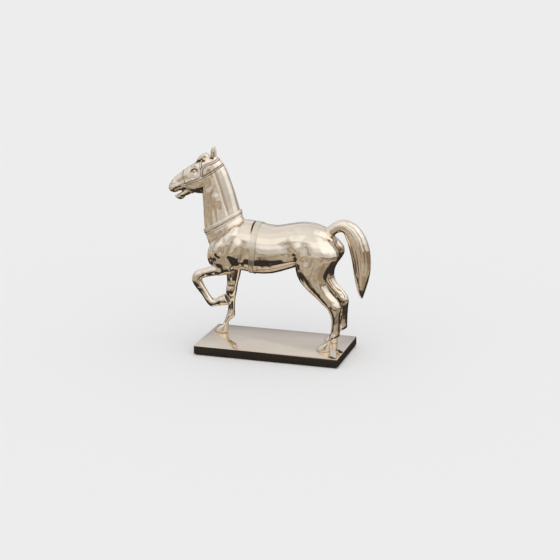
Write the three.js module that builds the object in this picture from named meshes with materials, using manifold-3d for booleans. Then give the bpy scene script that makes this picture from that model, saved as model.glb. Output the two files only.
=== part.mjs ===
// Walking horse statuette in polished bronze, on a rectangular plate.
// Millimetres, +Z up, +X towards the horse's head, +Y towards its left side.
// The origin is the middle of the felt that the statuette rests on.
//
// The horse is cast in sections: a hollow torso, the neck with its head, four legs and the tail.
// Steel dowels locate the sections, and the harness covers the joints. Screws from below hold the
// three standing hooves to the plate.
import * as THREE from "three";
import { mergeVertices } from "three/addons/utils/BufferGeometryUtils.js";
import Module from "manifold-3d";

const wasm = await Module();
wasm.setup();

// ---------------------------------------------------------------- driving dimensions
const WITHERS_HEIGHT = 126; // sole of a standing hoof to the top of the withers
const DRAWN_HEIGHT = 126; // withers height at which the section lists below are drawn
const K = WITHERS_HEIGHT / DRAWN_HEIGHT;

const GAP = 0.3; // clearance between fitted pieces, and across each sawn joint
const SEAT = 0.05; // film of glue or solder between two flat faces

const PLATE_HEIGHT = 8.8;
const PLATE_FRONT = 13.4; // from the foremost fixing screw to the plate's front end
const PLATE_REAR = 20.5; // from the rear fixing screws to its rear end
const PLATE_SIDE = 23.5; // from the outer fixing screws to its sides
const PLATE_CORNER = 0.8; // radius of the upright corners
const PLATE_EDGE = 0.5; // chamfer along the top and bottom edges
const FELT_THICKNESS = 1.15;
const FELT_INSET = 1.8; // felt edge in from the plate edge

const CASTING_WALL = 3.6; // bronze around the hollow in the torso
const CORE_HOLE_RADIUS = 4.2; // belly hole that the core came out of
const CORE_HOLE_X = 2;
const CORE_PLUG_LENGTH = 3;

const DOWEL = { radius: 1.75, length: 16 };
const NECK_DOWEL = { radius: 3, length: 24 };
const TAIL_DOWEL = { radius: 1.5, length: 13 };

const SCREW_RADIUS = 1.5;
const SCREW_IN_HOOF = 5.5;
const SCREW_HEAD_RADIUS = 2.75;
const SCREW_HEAD_HEIGHT = 2;
const SCREW_SLOT_WIDTH = 0.8;
const SCREW_SLOT_DEPTH = 0.8;
const WASHER_RADIUS = 3.4;
const WASHER_THICKNESS = 0.5;
const COUNTERBORE_DEPTH = 3.4; // from the plate's underside

const STRAP_THICKNESS = 0.9; // bridle straps
const STRAP_WIDTH = 1.6;
const LASH_THICKNESS = 0.7; // the thin strap over the crest of the neck
const LASH_WIDTH = 1.2;
const ROSETTE_RADIUS = 2.1;
const ROSETTE_HEIGHT = 1.5;
const BIT_RADIUS = 0.8;
const COLLAR_THICKNESS = 1.7;
const COLLAR_ABOVE = 4.4; // collar above the neck joint
const COLLAR_BELOW = 0.9; // collar below it
const COLLAR_LIP = 1.3; // thinner lip below that again
const COLLAR_LIP_THICKNESS = 0.9;
const GIRTH_THICKNESS = 0.8;
const GIRTH_WIDTH = 6;

const PLATE_TOP = FELT_THICKNESS + SEAT + PLATE_HEIGHT;

// ---------------------------------------------------------------- sections of the horse
// Each row is one cross-section: [x, y, z, tilt, front, back, side], z from the plate's top.
// Tilt is the angle in degrees of the section's long axis above +X, front and back are how far the
// section reaches along that axis each way from its centre, and side is its half width across.
const BARREL = [
  [69.6, 0, 87, 90, 7, 8, 8],
  [67, 0, 87, 90, 14, 11.5, 14],
  [60, 0, 89, 90, 21, 14, 18.5],
  [47, 0, 92, 90, 26, 18.5, 20.5],
  [32, 0, 95, 90, 29.5, 22.5, 21],
  [17, 0, 95, 90, 27.5, 24.2, 23.5],
  [1, 0, 96, 90, 24.5, 23.6, 24.5],
  [-14, 0, 98, 90, 25.5, 20.5, 23.5],
  [-29, 0, 100, 90, 26.3, 17, 22],
  [-43, 0, 102, 90, 23, 14, 20],
  [-54, 0, 103, 90, 17.5, 12, 15],
  [-61, 0, 104, 90, 10, 8, 8],
];
const SHOULDER = [
  [37, 7, 120, 12, 5, 6, 6],
  [41, 11, 113, 10, 9, 9, 8],
  [47, 12.5, 102, 5, 12, 12, 9.5],
  [52, 13, 92, 0, 14, 13, 9.8],
  [51, 13, 82, -5, 12, 12, 8.5],
  [49, 13.5, 75, 0, 8, 8, 6.5],
];
const FORE_STANDING = [
  [49, 13, 82, 0, 10, 10, 7.5],
  [49, 13.5, 72, 0, 8.8, 8.6, 6.6],
  [49.6, 14, 62, 0, 7.4, 7.2, 5.6],
  [50.6, 14, 53.5, 0, 5.9, 5.7, 4.8],
  [51.6, 14, 46.5, 0, 6.1, 5.6, 5],
  [52, 14, 40.5, 0, 5, 4.9, 4.3],
  [52, 14, 35, 0, 3.7, 3.9, 3.3],
  [52.2, 14, 26, 0, 3.5, 3.7, 3.1],
  [53, 14, 18.5, 0, 4.4, 4.6, 3.9],
  [55.5, 14, 14, -20, 4.3, 4.9, 4],
  [58.6, 14, 9.6, -30, 4, 4, 3.6],
];
const FORE_RAISED = [
  [44, 13.5, 80, 70, 9.5, 9, 7],
  [50, 14, 77, 72, 8, 7.8, 6.4],
  [60, 14.3, 73.4, 74, 5.8, 5.4, 5.2],
  [70, 14.5, 70.2, 74, 4.7, 4.6, 4.6],
  [77, 14.6, 66.8, 52, 5.9, 4.6, 4.9],
  [78.6, 14.6, 61.5, 0, 5.5, 5.2, 4.7],
  [75.6, 14.6, 56, -28, 4.7, 4.5, 3.9],
  [70.6, 14.5, 48.6, -31, 3.7, 3.9, 3.1],
  [66.2, 14.4, 42.4, -36, 4, 4, 3.5],
  [62.2, 14.3, 39.4, -68, 4.7, 4.6, 4],
  [57, 14.2, 40.6, -100, 3.6, 4.2, 3.6],
];
const HIND_LEG = [
  [-38, 8, 119, 0, 9, 10, 7],
  [-42, 10.5, 112, 0, 17, 16, 11],
  [-46, 11.8, 102, 0, 21.5, 21, 12.8],
  [-46, 13, 92, -4, 22.5, 21.5, 12.4],
  [-44.5, 14, 82, -8, 19.5, 17, 11],
  [-44, 14.6, 74, -13, 15.5, 14, 9.3],
  [-47, 15, 66, -20, 11.4, 10.6, 7.6],
  [-53.6, 15, 57.5, -29, 8.2, 7.8, 6],
  [-60.4, 15, 50.2, -26, 7.7, 8.3, 5.2],
  [-64.2, 15, 45, -8, 7.2, 8, 4.9],
  [-66.2, 15, 38, 0, 5.6, 5.4, 4.3],
  [-66.8, 15, 30, 0, 4.5, 4.4, 3.4],
  [-66.4, 15, 21, 0, 4.6, 4.5, 3.3],
  [-65.6, 15, 15.6, -8, 5.2, 5.2, 4.1],
  [-62.4, 15, 10.8, -28, 4.6, 4.8, 4],
  [-58.8, 15, 8, -34, 4.4, 4.4, 4],
];
// A hoof grows from its coronet to its sole.
const HOOF_FORE = [
  [59.4, 14, 9, -24, 4.4, 4.6, 4.1],
  [60.8, 14, 7, -12, 5.3, 5.2, 5],
  [62, 14, 3.5, -3, 6.9, 6.2, 5.7],
  [62.6, 14, 0, 0, 8, 6.8, 6.2],
];
const HOOF_HIND = [
  [-58.2, 15, 8.8, -26, 4.6, 4.8, 4.3],
  [-56.6, 15, 6.8, -13, 5.4, 5.4, 5.2],
  [-54.9, 15, 3.4, -3, 6.8, 6.4, 5.8],
  [-54.2, 15, 0, 0, 7.9, 7, 6.2],
];
const HOOF_RAISED = [
  [57.2, 14.2, 40.4, -98, 4.1, 4.5, 4],
  [54.4, 14.2, 41.5, -108, 4.6, 5, 4.8],
  [50, 14.2, 42.9, -117, 5.4, 5.8, 5.5],
  [46, 14.2, 44.4, -121, 6.2, 6.5, 6],
];
const NECK = [
  [47, 0, 106, -34, 25, 22, 17],
  [54.3, 0, 117.2, -31, 22.2, 22.2, 13],
  [57.4, 0, 129.4, -32, 21.2, 21.2, 10.8],
  [59.4, 0, 141.6, -33, 19.6, 19.8, 9.8],
  [62, 0, 153.4, -38, 18.2, 18.6, 9.2],
  [65, 0, 164.6, -48, 17.6, 18, 8.8],
  [68.6, 0, 175, -62, 15, 14.6, 8.2],
];
const HEAD = [
  [63.5, 0, 178.6, 84, 9, 9, 6],
  [68, 0, 174, 80, 14.6, 16, 7.9],
  [74.6, 0, 168, 76, 16.6, 16.4, 8.9],
  [81.4, 0, 163.8, 74, 15.8, 15.8, 8.9],
  [88.6, 0, 161.2, 70, 13.6, 13.2, 8],
  [95.4, 0, 159.4, 66, 10.6, 9.6, 6.7],
  [101.4, 0, 157.2, 62, 8.4, 7.4, 5.8],
  [106.4, 0, 154.4, 58, 6.5, 6.2, 5.8],
  [109.6, 0, 151.8, 50, 4.6, 4.6, 5],
  [111.4, 0, 150.2, 44, 2, 2.2, 2.6],
];
const LOWER_JAW = [
  [86, 0, 154.5, 70, 5, 5, 4.6],
  [92, 0, 150.6, 68, 3.8, 4, 4.4],
  [97.4, 0, 146.9, 64, 2.8, 3.6, 4.1],
  [101.6, 0, 144.8, 60, 2.2, 2.8, 3.8],
  [104.6, 0, 144, 54, 1.6, 1.7, 3],
  [106.2, 0, 144, 50, 0.7, 0.8, 1.6],
];
const FORELOCK = [
  [69, 0, 187, 60, 2.4, 2.4, 2.6],
  [72.4, 0, 188, 72, 2.6, 2.6, 4],
  [76, 0, 186.4, 64, 2.6, 2.8, 4.2],
  [80, 0, 183.2, 56, 2, 2.4, 3.2],
  [82.6, 0, 180.6, 52, 0.8, 1, 1.2],
];
const EAR = [
  [64.8, 2.8, 183.6, 0, 2.3, 2.2, 1.7],
  [64.8, 3.2, 188.4, 0, 2.5, 2.3, 1.6],
  [64.8, 3.4, 193, 0, 1.9, 1.8, 1.2],
  [64.6, 3.5, 197, 0, 0.6, 0.6, 0.5],
];
const TAIL = [
  [-51, 0, 114.5, 55, 6, 6, 5],
  [-56.6, 0, 118.4, 62, 5.6, 5.6, 4.8],
  [-62.6, 0, 123, 72, 6, 5.4, 4.8],
  [-69.8, 0, 125, 92, 6.8, 6.6, 5.4],
  [-77, 0, 120.6, 128, 8.8, 8.6, 6.3],
  [-82.6, 0, 112, 152, 10, 9.6, 7],
  [-86.2, 0, 101, 166, 10.6, 9.8, 7.2],
  [-88.2, 0, 89, 176, 9.8, 9.2, 6.8],
  [-88.8, 0, 77, 182, 8.2, 8, 5.8],
  [-88.6, 0, 66, 186, 5.6, 5.8, 4.2],
  [-88.6, 0, 57.5, 190, 3, 3.2, 2.4],
  [-89.2, 0, 52.6, 192, 0.8, 0.8, 0.8],
];

const mirrored = (rows) => rows.map(([x, y, ...rest]) => [x, -y, ...rest]);

// ---------------------------------------------------------------- solids
function solid(geometry) {
  const bare = geometry.clone();
  bare.deleteAttribute("normal");
  bare.deleteAttribute("uv");
  const merged = mergeVertices(bare, 1e-4);
  const vertProperties = new Float32Array(merged.attributes.position.array);
  const triVerts = new Uint32Array(merged.index.array);
  const made = new wasm.Manifold(new wasm.Mesh({ numProp: 3, vertProperties, triVerts }));
  if (made.volume() > 0) return made;
  for (let i = 0; i < triVerts.length; i += 3) {
    [triVerts[i + 1], triVerts[i + 2]] = [triVerts[i + 2], triVerts[i + 1]];
  }
  return new wasm.Manifold(new wasm.Mesh({ numProp: 3, vertProperties, triVerts }));
}

function join(...solids) {
  return solids.reduce((all, one) => all.add(one));
}

function largest(made) {
  return made.decompose().reduce((best, one) => (one.volume() > best.volume() ? one : best));
}

// A cylinder whose rings are drawn out to the cross-sections in rows, which run along its length.
// Grow sets the whole surface out, the ends included, for a clearance or a skin.
function drawn(rows, { around = 20, steps = 3, grow = 0, square = 2 } = {}) {
  const curve = (points) => new THREE.CatmullRomCurve3(points, false, "catmullrom", 0.5);
  const centres = curve(rows.map(([x, y, z]) => new THREE.Vector3(x, y, z).multiplyScalar(K)));
  const tilts = curve(rows.map((row) => new THREE.Vector3(row[3], 0, 0)));
  const sizes = curve(rows.map((row) => new THREE.Vector3(...row.slice(4)).multiplyScalar(K)));
  const rings = (rows.length - 1) * steps;
  const geometry = new THREE.CylinderGeometry(1, 1, 1, around, rings);
  const position = geometry.attributes.position;
  for (let i = 0; i < position.count; i++) {
    const t = THREE.MathUtils.clamp(0.5 - position.getY(i), 0, 1);
    const outwards = t === 0 ? -grow : t === 1 ? grow : 0;
    const centre = centres.getTangent(t).multiplyScalar(outwards).add(centres.getPoint(t));
    const size = sizes.getPoint(t);
    const tilt = THREE.MathUtils.degToRad(tilts.getPoint(t).x);
    const radius = Math.hypot(position.getX(i), position.getZ(i));
    const angle = Math.atan2(position.getZ(i), position.getX(i));
    const rounded = (value) => radius * Math.sign(value) * Math.abs(value) ** (2 / square);
    const along = rounded(Math.cos(angle));
    const reach = along * ((along > 0 ? size.x : size.y) + grow);
    const across = rounded(Math.sin(angle)) * (size.z + grow);
    position.setXYZ(
      i,
      centre.x + reach * Math.cos(tilt),
      centre.y + across,
      centre.z + reach * Math.sin(tilt),
    );
  }
  return solid(geometry);
}

// A round bar from one point to another.
function bar(from, to, radius, sides = 16) {
  const axis = to.clone().sub(from);
  const geometry = new THREE.CylinderGeometry(radius, radius, axis.length(), sides);
  const turn = new THREE.Quaternion().setFromUnitVectors(
    new THREE.Vector3(0, 1, 0),
    axis.clone().normalize(),
  );
  geometry.applyQuaternion(turn);
  const middle = from.clone().add(to).multiplyScalar(0.5);
  geometry.translate(middle.x, middle.y, middle.z);
  return solid(geometry);
}

// A turned piece: [radius, height] pairs, about the upright axis through (x, y).
function turned(profile, x, y, sides = 16) {
  const points = profile.map(([radius, height]) => new THREE.Vector2(radius, height));
  const geometry = new THREE.LatheGeometry(points, sides);
  geometry.rotateX(Math.PI / 2);
  geometry.translate(x, y, 0);
  return solid(geometry);
}

// A strip in the side view, width wide along its path of [x, z] points, from y = low to y = high.
function strip(path, width, low = -40, high = 40) {
  const points = path.map(([x, z]) => new THREE.Vector2(x, z).multiplyScalar(K));
  const edge = (side) =>
    points.map((point, i) => {
      const last = points[Math.max(i - 1, 0)];
      const next = points[Math.min(i + 1, points.length - 1)];
      const run = next.clone().sub(last).normalize();
      return new THREE.Vector2(point.x - run.y * side, point.y + run.x * side);
    });
  const shape = new THREE.Shape([...edge(width / 2), ...edge(-width / 2).reverse()]);
  const geometry = new THREE.ExtrudeGeometry(shape, { depth: high - low, bevelEnabled: false });
  geometry.rotateX(Math.PI / 2);
  geometry.translate(0, high, 0);
  return solid(geometry);
}

// ---------------------------------------------------------------- joints between the sections
// A section leaves its joint along way. Reach is the radius that takes in the whole sawn face.
function joint([x, y, z], way, reach, dowel) {
  const at = new THREE.Vector3(x, y, z).multiplyScalar(K);
  return { at, way: new THREE.Vector3(...way).normalize(), reach: reach * K, dowel };
}

const JOINTS = {
  neck: joint([55.4, 0, 119.1], [0.515, 0, 0.857], 36, NECK_DOWEL),
  leftFore: joint([66.4, 14.4, 71.4], [0.955, 0, -0.297], 12, DOWEL),
  rightFore: joint([49, -13.7, 69.5], [0, 0, -1], 14, DOWEL),
  leftHind: joint([-48.6, 15, 64], [-0.6, 0, -0.8], 14, DOWEL),
  rightHind: joint([-48.6, -15, 64], [-0.6, 0, -0.8], 14, DOWEL),
  tail: joint([-60.4, 0, 121.4], [-0.84, 0, 0.54], 11, TAIL_DOWEL),
};

// A round bar along a joint's axis, from one distance beyond its sawn face to another.
function along({ at, way }, from, to, radius, sides) {
  const point = (distance) => way.clone().multiplyScalar(distance).add(at);
  return bar(point(from), point(to), radius, sides);
}

function behind(place, edge) {
  return along(place, -60 * K, edge, place.reach, 32);
}

function beyond(made, place) {
  return made.subtract(behind(place, GAP / 2));
}

function stub(made, place) {
  return made.intersect(behind(place, -GAP / 2));
}

function dowelAt(place, extra = 0) {
  const half = place.dowel.length / 2 + extra;
  return along(place, -half, half, place.dowel.radius + extra);
}

// ---------------------------------------------------------------- masses of the horse
const LIMB = { around: 14, steps: 2 };
const BODY = { around: 28, steps: 2, square: 2.15 };
const SMALL = { around: 10, steps: 1 };

function trunk(grow = 0) {
  const side = { ...LIMB, grow };
  return join(
    drawn(BARREL, { ...BODY, grow }),
    drawn(SHOULDER, { ...side, steps: 1 }),
    drawn(mirrored(SHOULDER), { ...side, steps: 1 }),
    drawn(HIND_LEG, side),
    drawn(mirrored(HIND_LEG), side),
  );
}

function neck(grow = 0) {
  return drawn(NECK, { grow, around: 20, steps: 2 });
}

function neckAndHead(grow = 0) {
  return join(
    neck(grow),
    drawn(HEAD, { grow, around: 20, steps: 2 }),
    drawn(LOWER_JAW, { ...SMALL, grow }),
  );
}

function limb(rows, hoof) {
  return join(drawn(rows, LIMB), drawn(hoof, { ...LIMB, steps: 1 }));
}

const LEGS = {
  leftFore: limb(FORE_RAISED, HOOF_RAISED),
  rightFore: limb(mirrored(FORE_STANDING), mirrored(HOOF_FORE)),
  leftHind: limb(HIND_LEG, HOOF_HIND),
  rightHind: limb(mirrored(HIND_LEG), mirrored(HOOF_HIND)),
};

// ---------------------------------------------------------------- plate, screws and felt
// Every standing hoof has a fixing screw under its middle.
const foreScrew = [61.6 * K, -14 * K];
const hindScrews = [15 * K, -15 * K].map((y) => [-54.5 * K, y]);
const screwPlaces = [foreScrew, ...hindScrews];
const plateFront = foreScrew[0] + PLATE_FRONT;
const plateRear = hindScrews[0][0] - PLATE_REAR;
const plateLength = plateFront - plateRear;
const plateWidth = 2 * (hindScrews[0][1] + PLATE_SIDE);
const plateMiddle = (plateFront + plateRear) / 2;

// A flat rectangle standing on z = low, with rounded upright corners and chamfered edges.
function tablet(length, width, height, low, corner, edge) {
  const x = length / 2 - edge;
  const y = width / 2 - edge;
  const shape = new THREE.Shape();
  shape.moveTo(x, -y + corner);
  shape.lineTo(x, y - corner);
  shape.absarc(x - corner, y - corner, corner, 0, Math.PI / 2);
  shape.absarc(corner - x, y - corner, corner, Math.PI / 2, Math.PI);
  shape.absarc(corner - x, corner - y, corner, Math.PI, 1.5 * Math.PI);
  shape.absarc(x - corner, corner - y, corner, 1.5 * Math.PI, 2 * Math.PI);
  const geometry = new THREE.ExtrudeGeometry(shape, {
    depth: height - 2 * edge,
    bevelEnabled: edge > 0,
    bevelThickness: edge,
    bevelSize: edge,
    bevelSegments: 1,
    curveSegments: 3,
  });
  geometry.translate(plateMiddle, 0, low + edge);
  return solid(geometry);
}

// Heights from here on are measured from the plate's top.
const counterboreRoof = COUNTERBORE_DEPTH - PLATE_HEIGHT;
const washerLow = counterboreRoof - SEAT - WASHER_THICKNESS;
const headLow = washerLow - SEAT - SCREW_HEAD_HEIGHT;

function screwHole([x, y]) {
  const bore = new THREE.Vector3(x, y, -PLATE_HEIGHT - 1);
  const roof = new THREE.Vector3(x, y, counterboreRoof);
  const top = new THREE.Vector3(x, y, SCREW_IN_HOOF + GAP);
  return join(bar(bore, roof, WASHER_RADIUS + GAP), bar(bore, top, SCREW_RADIUS + GAP));
}

function fixingScrew([x, y]) {
  const profile = [
    [0, headLow],
    [SCREW_HEAD_RADIUS, headLow],
    [SCREW_HEAD_RADIUS, headLow + SCREW_HEAD_HEIGHT],
    [SCREW_RADIUS, headLow + SCREW_HEAD_HEIGHT],
    [SCREW_RADIUS, SCREW_IN_HOOF - SCREW_RADIUS / 2],
    [SCREW_RADIUS / 2, SCREW_IN_HOOF],
    [0, SCREW_IN_HOOF],
  ];
  const slot = new THREE.BoxGeometry(3 * SCREW_HEAD_RADIUS, SCREW_SLOT_WIDTH, 2 * SCREW_SLOT_DEPTH);
  slot.translate(x, y, headLow);
  return turned(profile, x, y).subtract(solid(slot));
}

function washer([x, y]) {
  const hole = SCREW_RADIUS + GAP;
  const profile = [
    [hole, washerLow],
    [WASHER_RADIUS, washerLow],
    [WASHER_RADIUS, washerLow + WASHER_THICKNESS],
    [hole, washerLow + WASHER_THICKNESS],
    [hole, washerLow],
  ];
  return turned(profile, x, y);
}

const screwHoles = join(...screwPlaces.map(screwHole));
const plate = tablet(plateLength, plateWidth, PLATE_HEIGHT, -PLATE_HEIGHT, PLATE_CORNER, PLATE_EDGE)
  .subtract(screwHoles);
const felt = tablet(
  plateLength - 2 * FELT_INSET,
  plateWidth - 2 * FELT_INSET,
  FELT_THICKNESS,
  -PLATE_TOP,
  PLATE_CORNER,
  0,
);

// ---------------------------------------------------------------- castings
const trunkFit = trunk(GAP);
const headFit = neckAndHead(GAP);

// The hollow follows the barrel, and the core came out through the hole in the belly.
const hollowRows = BARREL.slice(4, 9).map(([x, y, z, tilt, ...reaches]) => [
  x,
  y,
  z,
  tilt,
  ...reaches.map((reach) => reach - CASTING_WALL / K),
]);
const hollow = drawn(hollowRows, { around: 16, steps: 1 });

function coreBar(radius, low, high) {
  const [from, to] = [low, high].map((z) => new THREE.Vector3(CORE_HOLE_X, 0, z).multiplyScalar(K));
  return bar(from, to, radius, 20);
}

const bellyLow = 72.4;
const corePlug = drawn(BARREL, BODY)
  .intersect(coreBar(CORE_HOLE_RADIUS - GAP, bellyLow - 10, bellyLow + CORE_PLUG_LENGTH / K));

const dowelHoles = join(...Object.values(JOINTS).map((place) => dowelAt(place, GAP)));
const wholeTail = drawn(TAIL, LIMB);
const stubs = Object.entries({ ...LEGS, neck: neck(), tail: wholeTail })
  .map(([name, mass]) => stub(mass, JOINTS[name]));
const torso = largest(
  join(trunk(), ...stubs)
    .subtract(beyondJoints())
    .subtract(hollow)
    .subtract(coreBar(CORE_HOLE_RADIUS, bellyLow - 10, bellyLow + 20))
    .subtract(dowelHoles),
);

// The hind legs are drawn whole in the trunk, so the torso is cut off at their sawn faces.
function beyondJoints() {
  return join(
    along(JOINTS.leftHind, -GAP / 2, 90 * K, 40 * K, 32),
    along(JOINTS.rightHind, -GAP / 2, 90 * K, 40 * K, 32),
  );
}

const bitAt = [93.6, 157.4];
const rosetteAt = [75.7, 165.6];

// A bar across the head at a side-view point, from y = low to y = high.
function across([x, z], radius, low, high) {
  const ends = [low, high].map((y) => new THREE.Vector3(x * K, y, z * K));
  return bar(...ends, radius);
}

function earsAndForelock(grow = 0) {
  const fine = { ...SMALL, grow };
  return join(drawn(FORELOCK, fine), drawn(EAR, fine), drawn(mirrored(EAR), fine));
}

const bitHalf = 6.2 * K;
const head = largest(
  join(beyond(neckAndHead(), JOINTS.neck), earsAndForelock())
    .subtract(dowelAt(JOINTS.neck, GAP))
    .subtract(across(bitAt, BIT_RADIUS + GAP, -40, 40)),
);

function legCasting(name) {
  return largest(
    beyond(LEGS[name], JOINTS[name])
      .subtract(behindTorso(name))
      .subtract(dowelAt(JOINTS[name], GAP))
      .subtract(screwHoles),
  );
}

function behindTorso(name) {
  return name.endsWith("Hind") ? behind({ ...JOINTS[name], reach: 60 * K }, GAP / 2) : trunkFit;
}

const tail = largest(
  beyond(wholeTail, JOINTS.tail)
    .subtract(trunkFit)
    .subtract(dowelAt(JOINTS.tail, GAP)),
);

// ---------------------------------------------------------------- harness
// A band is the part inside a cutter of a skin that clears the casting by GAP.
function band(mass, fit, thickness, cutter) {
  return mass(GAP + thickness).subtract(fit).intersect(cutter);
}

const collarRing = (thickness, from, to) =>
  band(neck, neck(GAP), thickness, along(JOINTS.neck, from, to, 60 * K, 32));
const collar = largest(
  join(
    collarRing(COLLAR_THICKNESS, -COLLAR_BELOW, COLLAR_ABOVE),
    collarRing(COLLAR_LIP_THICKNESS, -COLLAR_BELOW - COLLAR_LIP, 0),
  ).subtract(trunkFit),
);

const girthPath = [
  [17.6, 135],
  [17, 112],
  [17.2, 97],
  [19.2, 85],
  [22, 74],
  [23, 66],
];
const girth = largest(band(trunk, trunkFit, GIRTH_THICKNESS, strip(girthPath, GIRTH_WIDTH)));

const rosettes = [bitAt, rosetteAt];
const rosetteFaces = [7.4 * K + ROSETTE_HEIGHT, 9.1 * K + ROSETTE_HEIGHT];
const rosetteHoles = join(...rosettes.map((at) => across(at, ROSETTE_RADIUS + GAP, -40, 40)));

function rosette(i, side) {
  const [low, high] = side > 0 ? [2, rosetteFaces[i]] : [-rosetteFaces[i], -2];
  const cut = i === 0 ? across(bitAt, 40, -bitHalf - GAP, bitHalf + GAP) : headFit;
  return largest(across(rosettes[i], ROSETTE_RADIUS, low, high).subtract(headFit).subtract(cut));
}

function strap(path, { width = STRAP_WIDTH, thickness = STRAP_THICKNESS, low, high } = {}) {
  const cutter = strip(path, width, low, high);
  return largest(
    band(neckAndHead, headFit, thickness, cutter)
      .subtract(rosetteHoles)
      .subtract(earsAndForelock(GAP)),
  );
}

const nosebandPath = [bitAt, [94.8, 161.5], [96.6, 166], [97, 171], [95, 180]];
const chinPath = [bitAt, [90.6, 153.6], [87.4, 150], [84, 143]];
const cheekPath = [bitAt, [86.2, 161.6], [79.5, 163.6], rosetteAt];
const crownPath = [rosetteAt, [74.6, 171], [75.2, 175.6], [70, 179.6], [62.6, 182], [57, 187]];
const browPath = [[76.2, 178.2], [76.4, 183], [76.4, 192]];
const lashPath = [rosetteAt, [67, 170], [59.6, 175.4], [52.4, 181.2], [48, 185]];

const crownpiece = strap(crownPath);
const throatLash = strap(lashPath, { width: LASH_WIDTH, thickness: LASH_THICKNESS });

// ---------------------------------------------------------------- output
const BRONZE = new THREE.MeshStandardMaterial({ color: 0xcbb193, roughness: 0.12, metalness: 1 });
const STEEL = new THREE.MeshStandardMaterial({ color: 0x9c9a96, roughness: 0.4, metalness: 1 });
const FELT = new THREE.MeshStandardMaterial({ color: 0x2e2c2a, roughness: 0.95, metalness: 0 });

const statuette = new THREE.Group();
const horse = new THREE.Group();
horse.position.z = PLATE_TOP;
horse.position.x = -plateMiddle;
statuette.add(horse);

function add(group, name, made, material) {
  const { numProp, numVert, vertProperties, triVerts } = made.getMesh();
  const points = new Float32Array(numVert * 3);
  for (let i = 0; i < numVert; i++) {
    points.set(vertProperties.subarray(i * numProp, i * numProp + 3), i * 3);
  }
  const geometry = new THREE.BufferGeometry()
    .setAttribute("position", new THREE.BufferAttribute(points, 3))
    .setIndex(new THREE.BufferAttribute(new Uint32Array(triVerts), 1));
  geometry.computeVertexNormals();
  const mesh = new THREE.Mesh(geometry, material);
  mesh.name = name;
  group.add(mesh);
}

add(horse, "felt_pad", felt, FELT);
add(horse, "base_plate", plate, BRONZE);
screwPlaces.forEach((place, i) => {
  const foot = ["right_fore", "left_hind", "right_hind"][i];
  add(horse, `${foot}_screw`, fixingScrew(place), STEEL);
  add(horse, `${foot}_washer`, washer(place), STEEL);
});

add(horse, "torso", torso, BRONZE);
add(horse, "core_plug", corePlug, BRONZE);
add(horse, "neck_and_head", head, BRONZE);
add(horse, "left_foreleg", legCasting("leftFore"), BRONZE);
add(horse, "right_foreleg", legCasting("rightFore"), BRONZE);
add(horse, "left_hind_leg", legCasting("leftHind"), BRONZE);
add(horse, "right_hind_leg", legCasting("rightHind"), BRONZE);
add(horse, "tail", tail, BRONZE);
add(horse, "neck_dowel", dowelAt(JOINTS.neck), STEEL);
add(horse, "left_foreleg_dowel", dowelAt(JOINTS.leftFore), STEEL);
add(horse, "right_foreleg_dowel", dowelAt(JOINTS.rightFore), STEEL);
add(horse, "left_hind_leg_dowel", dowelAt(JOINTS.leftHind), STEEL);
add(horse, "right_hind_leg_dowel", dowelAt(JOINTS.rightHind), STEEL);
add(horse, "tail_dowel", dowelAt(JOINTS.tail), STEEL);

add(horse, "neck_collar", collar, BRONZE);
add(horse, "girth_strap", girth, BRONZE);
add(horse, "noseband", strap(nosebandPath), BRONZE);
add(horse, "chin_strap", strap(chinPath), BRONZE);
add(horse, "crownpiece", crownpiece, BRONZE);
add(horse, "throat_lash", throatLash, BRONZE);
add(horse, "bit", across(bitAt, BIT_RADIUS, -bitHalf, bitHalf), BRONZE);
for (const [side, sign] of [["left", 1], ["right", -1]]) {
  const half = sign > 0 ? { low: 0, high: 40 } : { low: -40, high: 0 };
  add(horse, `${side}_cheek_strap`, strap(cheekPath, half), BRONZE);
  add(horse, `${side}_brow_strap`, strap(browPath, half), BRONZE);
  add(horse, `${side}_bit_boss`, rosette(0, sign), BRONZE);
  add(horse, `${side}_rosette`, rosette(1, sign), BRONZE);
}

export default statuette;
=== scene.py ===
"""Horse statuette: the modelled surface, harness, plate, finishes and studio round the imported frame."""
import math

import bmesh
import bpy
import numpy as np
from bpy.props import FloatProperty, FloatVectorProperty, PointerProperty, StringProperty
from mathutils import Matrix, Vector
from mathutils.bvhtree import BVHTree


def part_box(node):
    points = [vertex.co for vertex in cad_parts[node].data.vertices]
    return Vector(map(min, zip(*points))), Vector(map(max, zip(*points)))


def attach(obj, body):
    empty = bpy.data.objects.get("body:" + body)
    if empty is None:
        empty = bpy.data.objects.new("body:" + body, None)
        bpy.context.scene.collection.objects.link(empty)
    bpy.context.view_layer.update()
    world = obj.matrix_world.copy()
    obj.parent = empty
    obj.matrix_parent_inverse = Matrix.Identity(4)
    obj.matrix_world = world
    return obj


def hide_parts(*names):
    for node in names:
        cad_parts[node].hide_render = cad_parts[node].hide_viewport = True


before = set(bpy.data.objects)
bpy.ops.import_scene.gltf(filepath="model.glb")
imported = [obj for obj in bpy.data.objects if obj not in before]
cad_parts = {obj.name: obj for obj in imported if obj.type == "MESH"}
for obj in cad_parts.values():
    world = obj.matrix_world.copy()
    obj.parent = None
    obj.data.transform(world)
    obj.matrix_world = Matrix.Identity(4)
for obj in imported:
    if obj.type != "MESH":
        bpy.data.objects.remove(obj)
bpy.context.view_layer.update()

bl_info = {
    "name": "Horse statuette",
    "version": (1, 0, 0),
    "blender": (4, 5, 0),
    "location": "View3D > Sidebar > Statuette",
    "description": "Models a polished bronze horse on its plate",
    "category": "Object",
}

MM = 0.001
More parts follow.
